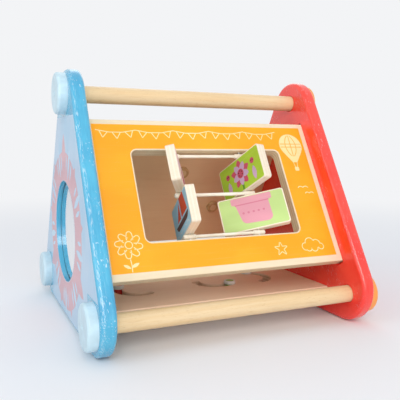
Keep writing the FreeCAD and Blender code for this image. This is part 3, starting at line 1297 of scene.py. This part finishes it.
@dataclass
class PictureBlocks:
    """The four turning blocks, each printed on both faces. A picture spans the two of a column."""

    width: float = 72.0
    height: float = 39.5
    thick: float = 9.5
    column: float = 39.5
    pitch: float = 45.5
    margin: float = 1.3
    corner: float = 2.2
    ground_coat: float = 0.05
    stem_coat: float = 0.07
    first_coat: float = 0.08
    second_coat: float = 0.11
    third_coat: float = 0.13
    fourth_coat: float = 0.14
    fifth_coat: float = 0.17

    def build(self) -> None:
        """Dresses and prints the blocks."""
        sky, rose, sand = ink(176, 212, 226), ink(246, 206, 210), ink(250, 226, 140)
        blocks = {
            "upper_left_block": (-1, 1, 117.0, (self.sail_top, sky), (self.scoops, rose)),
            "lower_left_block": (-1, -1, 98.5, (self.hull, ink(168, 216, 236)), (self.cone, rose)),
            "upper_right_block": (1, 1, 78.5, (self.flower, ink(172, 206, 58)), (self.crown, sand)),
            "lower_right_block": (1, -1, 27.5, (self.pot, ink(192, 218, 134)), (self.trunk, sand)),
        }
        lift = Matrix.Translation((0.0, 0.0, self.thick / 2 * MM))
        for name, (side, row, turn, *pictures) in blocks.items():
            middle = self.place(side, row, turn)
            plies = Plywood("ply_" + name, middle @ lift, self.thick, 5, 0.3, ink(238, 225, 204),
                            ink(230, 209, 179), ink(222, 196, 154))
            dress(name, plies.material())
            for (draw, ground), face, half_turn in zip(pictures, ("front", "back"), (0.0, math.pi)):
                place = middle @ Matrix.Rotation(half_turn, 4, "Y") @ lift
                sheet = Print(f"{name}_{face}_print", name, "block_wood", place)
                self.ground(sheet, ground)
                draw(sheet)
                sheet.press()

    def place(self, side: int, row: int, turn: float) -> Matrix:
        """A block's own frame at rest.

        Args:
            side: -1 for the left column, 1 for the right one.
            row: -1 for the lower row, 1 for the upper one.
            turn: how far it is turned on its axle, in degrees.

        Returns:
            The frame at the block's middle.
        """
        rise = TRIANGLE.window_middle + row * self.pitch / 2
        seat = Vector((side * self.column, rise, TRIANGLE.axle_level))
        turned = Matrix.Rotation(math.radians(-turn), 4, "Y")
        return Side.FRONT.matrix() @ Matrix.Translation(seat * MM) @ turned

    def colour(self, sheet: Print, name: str, colour: Colour) -> bpy.types.Material:
        """An ink of a block's picture."""
        whole = sheet.name.replace("_print", "_") + name
        return PrintedInk(whole, sheet.place, colour, streak=0.06).material()

    def ground(self, sheet: Print, colour: Colour) -> None:
        """Prints the ground of a picture.

        Args:
            sheet: the print that takes the ground.
            colour: the ground's colour.
        """
        shape = slab_patch(0.0, 0.0, self.width - 2 * self.margin, self.height - 2 * self.margin,
                           self.corner, self.ground_coat)
        sheet.add(shape, self.colour(sheet, "ground", colour))

    def flower(self, sheet: Print) -> None:
        """A lilac flower with a pink middle on green.

        Args:
            sheet: the print that takes the shapes.
        """
        pink = self.colour(sheet, "pink", ink(200, 82, 104))
        lilac = self.colour(sheet, "lilac", ink(204, 170, 198))
        dark = self.colour(sheet, "dark", ink(44, 34, 38))
        stem = slab_patch(0.0, -14.0, 3.2, 8.2, 0.0, self.stem_coat)
        sheet.add(stem, self.colour(sheet, "stem", ink(96, 150, 50)))
        sheet.add(repeat(leaf(0.0, 1.0, 90.0, 16.5, 110.0, self.first_coat), 5, 0.0, 1.0), pink)
        sheet.add(repeat(leaf(0.0, 1.0, 54.0, 14.0, 120.0, self.second_coat), 5, 0.0, 1.0), lilac)
        sheet.add(round_patch(0.0, 1.0, 5.4, self.fourth_coat, 32), pink)
        sheet.add(repeat(round_patch(0.0, 4.2, 0.8, self.fifth_coat, 16), 6, 0.0, 1.0), dark)
        for side in (-1, 1):
            sheet.add(leaf(side * 22.0, -16.0, 90.0, 16.0, 90.0, self.first_coat), lilac)
            sheet.add(round_patch(side * 22.0, 6.0, 3.4, self.first_coat, 28), pink)
            for right in (-1.2, 1.2):
                sheet.add(round_patch(side * 22.0 + right, 6.4, 0.7, self.second_coat, 14), dark)

    def pot(self, sheet: Print) -> None:
        """A pink flower pot with a rim and dots on light green.

        Args:
            sheet: the print that takes the shapes.
        """
        pink = self.colour(sheet, "pink", ink(226, 156, 168))
        pen = Pen(-18.0, 10.5, -78.0).forward(18.0).swing(6.0, 78.0).to(13.0, -13.2)
        pen.heading = 0.0
        pen.swing(6.0, 78.0).to(18.0, 10.5)
        sheet.add(pen.lift(self.first_coat), pink)
        sheet.add(slab_patch(0.0, 14.2, 44.0, 7.6, 1.6, self.first_coat), pink)
        rim = self.colour(sheet, "rim", ink(216, 128, 148))
        sheet.add(slab_patch(0.0, 10.0, 37.0, 1.4, 0.0, self.second_coat), rim)
        for number in range(5):
            sheet.add(round_patch(-11.0 + 5.5 * number, 0.0, 1.3, self.second_coat, 20), rim)

    def sail_top(self, sheet: Print) -> None:
        """The top of a sail and a cloud on a pale sky.

        Args:
            sheet: the print that takes the shapes.
        """
        red = self.colour(sheet, "red", ink(226, 84, 50))
        white = self.colour(sheet, "white", ink(246, 244, 236))
        sheet.add(Pen(3.0, -18.4, 90.0).forward(30.0).to(20.0, -18.4).lift(self.first_coat), red)
        for right, radius in ((-24.0, 4.0), (-19.0, 5.4), (-13.5, 3.8)):
            sheet.add(round_patch(right, 6.0, radius, self.first_coat + radius * 0.001, 28), white)

    def hull(self, sheet: Print) -> None:
        """A boat under its sail on blue water.

        Args:
            sheet: the print that takes the shapes.
        """
        red = self.colour(sheet, "red", ink(226, 84, 50))
        brown = self.colour(sheet, "brown", ink(92, 60, 56))
        light = self.colour(sheet, "light", ink(206, 226, 234))
        sail = Pen(3.0, -2.0, 90.0).forward(20.4).to(21.0, 18.4).to(28.0, -2.0)
        sheet.add(sail.lift(self.first_coat), red)
        sheet.add(Pen(-1.0, -2.0, 90.0).forward(18.0).to(-17.0, -2.0).lift(self.first_coat), red)
        boat = Pen(-26.0, -4.0, -60.0).swing(12.0, 60.0).to(20.0, -10.0).swing(12.0, 60.0)
        sheet.add(boat.lift(self.first_coat), brown)
        wave = Pen(-33.0, -15.0, 45.0, 1.2)
        for _ in range(5):
            wave.swing(8.0, -90.0).corner(90.0)
        sheet.add(wave.lift(0.10), light)

    def crown(self, sheet: Print) -> None:
        """A leafy crown with red fruit on pale yellow.

        Args:
            sheet: the print that takes the shapes.
        """
        green = self.colour(sheet, "green", ink(112, 170, 72))
        red = self.colour(sheet, "red", ink(214, 66, 50))
        boughs = ((-14.0, -4.0, 11.0), (0.0, 4.0, 13.0), (14.0, -4.0, 11.0), (0.0, -8.0, 10.0))
        for number, (right, up, radius) in enumerate(boughs):
            sheet.add(round_patch(right, up, radius, self.first_coat + number * LAP), green)
        for right, up in ((-15.0, -3.0), (-4.0, 7.0), (6.0, 1.0), (15.0, -6.0), (-3.0, -9.0)):
            sheet.add(round_patch(right, up, 2.2, self.third_coat, 24), red)

    def trunk(self, sheet: Print) -> None:
        """A tree's trunk on a green hill.

        Args:
            sheet: the print that takes the shapes.
        """
        brown = self.colour(sheet, "brown", ink(146, 98, 62))
        green = self.colour(sheet, "green", ink(150, 196, 92))
        hill = Pen(-34.4, -18.2, 35.0).swing(60.0, -70.0).lift(self.first_coat)
        sheet.add(hill, green)
        stem = Pen(-4.0, -8.0, 90.0).to(-3.0, 18.2).to(3.0, 18.2).to(4.0, -8.0)
        sheet.add(stem.lift(self.second_coat), brown)

    def scoops(self, sheet: Print) -> None:
        """Two scoops of ice cream on pale pink.

        Args:
            sheet: the print that takes the shapes.
        """
        cream = self.colour(sheet, "cream", ink(252, 240, 206))
        berry = self.colour(sheet, "berry", ink(200, 84, 110))
        sheet.add(round_patch(-7.0, -6.0, 11.0, self.first_coat), cream)
        sheet.add(round_patch(7.0, -4.0, 12.0, self.first_coat + 0.01), berry)
        for right, up in ((2.0, 0.0), (9.0, 3.0), (12.0, -5.0), (5.0, -8.0)):
            sheet.add(slab_patch(right, up, 0.9, 2.6, 0.3, self.third_coat), cream)

    def cone(self, sheet: Print) -> None:
        """A waffle cone on pale pink.

        Args:
            sheet: the print that takes the shapes.
        """
        wafer = self.colour(sheet, "wafer", ink(226, 170, 96))
        line = self.colour(sheet, "line", ink(176, 118, 60))
        sheet.add(Pen(-13.0, 18.2, 0.0).forward(26.0).to(0.0, -16.0).lift(self.first_coat), wafer)
        for offset in (-6.5, 0.0, 6.5):
            length = 20.0 - abs(offset)
            for side, heading, height in ((-1, -62.0, self.second_coat),
                                          (1, -118.0, self.second_coat + LAP)):
                mark = stroke(offset + side * 4.0, 17.6, heading, length, 0.8, height)
                sheet.add(mark, line)


@dataclass
class RearAndFloor:
    """The rear panel with its two gears, and the floor panel with its tracks and knobs."""

    def build(self) -> None:
        """Dresses both panels and what moves on them."""
        panels = (("rear", Side.REAR, ink(243, 206, 163), ink(229, 178, 129)),
                  ("floor", Side.FLOOR, ink(250, 216, 186), ink(240, 194, 158)))
        for name, side, face, vein in panels:
            plies = Plywood(name + "_plywood", TRIANGLE.on_face(side), face=face, vein=vein)
            dress(name + "_panel", plies.material())
        rear = TRIANGLE.on_face(Side.REAR)
        dress("large_gear", SatinPaint("yellow_satin", rear, ink(248, 206, 62)).material())
        dress("small_gear", SatinPaint("green_satin", rear, ink(150, 196, 74)).material())
        floor = TRIANGLE.on_face(Side.FLOOR)
        knobs = {"left": ink(224, 64, 48), "middle": ink(150, 196, 74), "right": ink(72, 160, 206)}
        white = SatinPaint("white_satin", floor, ink(240, 240, 232)).material()
        for name, colour in knobs.items():
            dress(name + "_track_knob", SatinPaint("knob_" + name, floor, colour).material())
            dress(name + "_track_disc", white)


@dataclass(frozen=True)
class Lamp:
    """A soft square lamp that points at the object. Lengths are in metres, the power in watts."""

    name: str
    place: tuple[float, float, float]
    size: float
    power: float
    colour: Colour
    aim_height: float = 0.12

    def hang(self) -> None:
        """Hangs the lamp."""
        deselect()
        aim = Vector((0.0, 0.0, self.aim_height)) - Vector(self.place)
        bpy.ops.object.light_add(type="AREA", location=self.place,
                                 rotation=aim.to_track_quat("-Z", "Y").to_euler())
        lamp = bpy.context.object
        lamp.name = self.name + "_lamp"
        lamp.data.size = self.size
        lamp.data.energy = self.power
        lamp.data.color = self.colour


@dataclass
class Studio:
    """The floor, the lamps, the world and the camera. Places are in metres, angles in degrees."""

    eye: tuple[float, float, float] = (-0.2494, -0.5779, 0.1888)
    yaw: float = 24.17
    pitch: float = 5.775
    roll: float = 0.437
    lens: float = 48.89
    ambient: float = 0.72
    room_tone: Colour = (0.92, 0.975, 1.05)
    backdrop: Colour = ink(243, 244, 246)
    floor_tone: Colour = ink(238, 238, 240)
    floor_size: float = 12.0
    floor_level: float = -0.0002
    fade: tuple[float, float] = (0.30, 1.5)
    lamps: tuple[Lamp, ...] = (
        Lamp("key", (-0.62, -1.72, 1.16), 0.8, 15.5, (1.0, 0.985, 0.955)),
        Lamp("low", (-0.25, -1.9, 0.34), 0.9, 6.0, (1.0, 0.985, 0.98)),
        Lamp("fill", (-1.6, -0.45, 1.0), 0.9, 4.0, (1.0, 0.99, 0.97)),
        Lamp("rear", (0.7, 1.5, 1.5), 1.2, 4.5, (1.0, 0.99, 0.97)),
    )

    def build(self) -> None:
        """Sets the whole stage."""
        self.lay_floor()
        self.light_world()
        for lamp in self.lamps:
            lamp.hang()
        self.set_camera()

    def lay_floor(self) -> None:
        """Lays the pale floor, which fades to the backdrop away from the object."""
        deselect()
        bpy.ops.mesh.primitive_plane_add(size=self.floor_size,
                                         location=(0.0, 0.0, self.floor_level))
        floor = bpy.context.object
        floor.name = "studio_floor"
        settle()
        edit_all()
        bpy.ops.mesh.subdivide(number_cuts=7)
        bpy.ops.object.mode_set(mode="OBJECT")
        graph = Graph("studio_floor")
        at = graph.local(Matrix())
        far = graph.band(graph.length(at), *self.fade)
        cloudy = graph.noise(at, (3.0, 3.0, 3.0), 2.0)
        paper = graph.blend(cloudy, ink(240, 239, 239), self.floor_tone)
        diffuse = graph.out("ShaderNodeBsdfDiffuse", {}, {"Color": paper})
        camera = graph.out("ShaderNodeLightPath", {}, {}, "Is Camera Ray")
        light = graph.out("ShaderNodeEmission", {}, {"Color": (*self.backdrop, 1.0)})
        mixed = graph.out("ShaderNodeMixShader", {}, {0: far * camera, 1: diffuse, 2: light})
        graph.node("ShaderNodeOutputMaterial", {}, {"Surface": mixed})
        floor.data.materials.append(graph.material)

    def light_world(self) -> None:
        """Lights the room softly, and shows the pale backdrop to the camera, metal and gloss."""
        world = bpy.data.worlds.new("studio")
        bpy.context.scene.world = world
        world.use_nodes = True
        tree = world.node_tree
        tree.nodes.clear()
        path = tree.nodes.new("ShaderNodeLightPath")
        seen = None
        for name in ("Is Camera Ray", "Is Glossy Ray", "Is Transmission Ray"):
            if seen is None:
                seen = path.outputs[name]
                continue
            most = tree.nodes.new("ShaderNodeMath")
            most.operation = "MAXIMUM"
            tree.links.new(seen, most.inputs[0])
            tree.links.new(path.outputs[name], most.inputs[1])
            seen = most.outputs[0]
        room = tree.nodes.new("ShaderNodeBackground")
        room.inputs["Color"].default_value = (*self.room_tone, 1.0)
        room.inputs["Strength"].default_value = self.ambient
        shown = tree.nodes.new("ShaderNodeBackground")
        shown.inputs["Color"].default_value = (*self.backdrop, 1.0)
        mix = tree.nodes.new("ShaderNodeMixShader")
        output = tree.nodes.new("ShaderNodeOutputWorld")
        tree.links.new(seen, mix.inputs[0])
        tree.links.new(room.outputs[0], mix.inputs[1])
        tree.links.new(shown.outputs[0], mix.inputs[2])
        tree.links.new(mix.outputs[0], output.inputs["Surface"])

    def set_camera(self) -> None:
        """Stands the camera where the photograph was taken from."""
        yaw, pitch, roll = (math.radians(angle) for angle in (self.yaw, self.pitch, self.roll))
        ahead = Vector((math.sin(yaw) * math.cos(pitch), math.cos(yaw) * math.cos(pitch),
                        -math.sin(pitch)))
        level = Vector((math.cos(yaw), -math.sin(yaw), 0.0))
        upright = level.cross(ahead)
        right = math.cos(roll) * level + math.sin(roll) * upright
        up = math.cos(roll) * upright - math.sin(roll) * level
        turned = Matrix((right, up, -ahead)).transposed().to_4x4()
        deselect()
        bpy.ops.object.camera_add()
        camera = bpy.context.object
        camera.matrix_world = Matrix.Translation(self.eye) @ turned
        camera.data.sensor_width = 36.0
        camera.data.lens = self.lens
        camera.data.clip_start = 0.01
        bpy.context.scene.camera = camera
        bpy.context.scene.view_settings.view_transform = "Standard"


def main() -> None:
    """Builds the stage and dresses each sub-assembly in turn."""
    logging.basicConfig(level=logging.INFO, format="%(message)s")
    Studio().build()
    for assembly in (EndPlates(), Bars(), FrontPanel(), PictureBlocks(), RearAndFloor()):
        assembly.build()
        LOG.info("%s done", type(assembly).__name__)
    deselect()


if __name__ == "__main__":
    main()
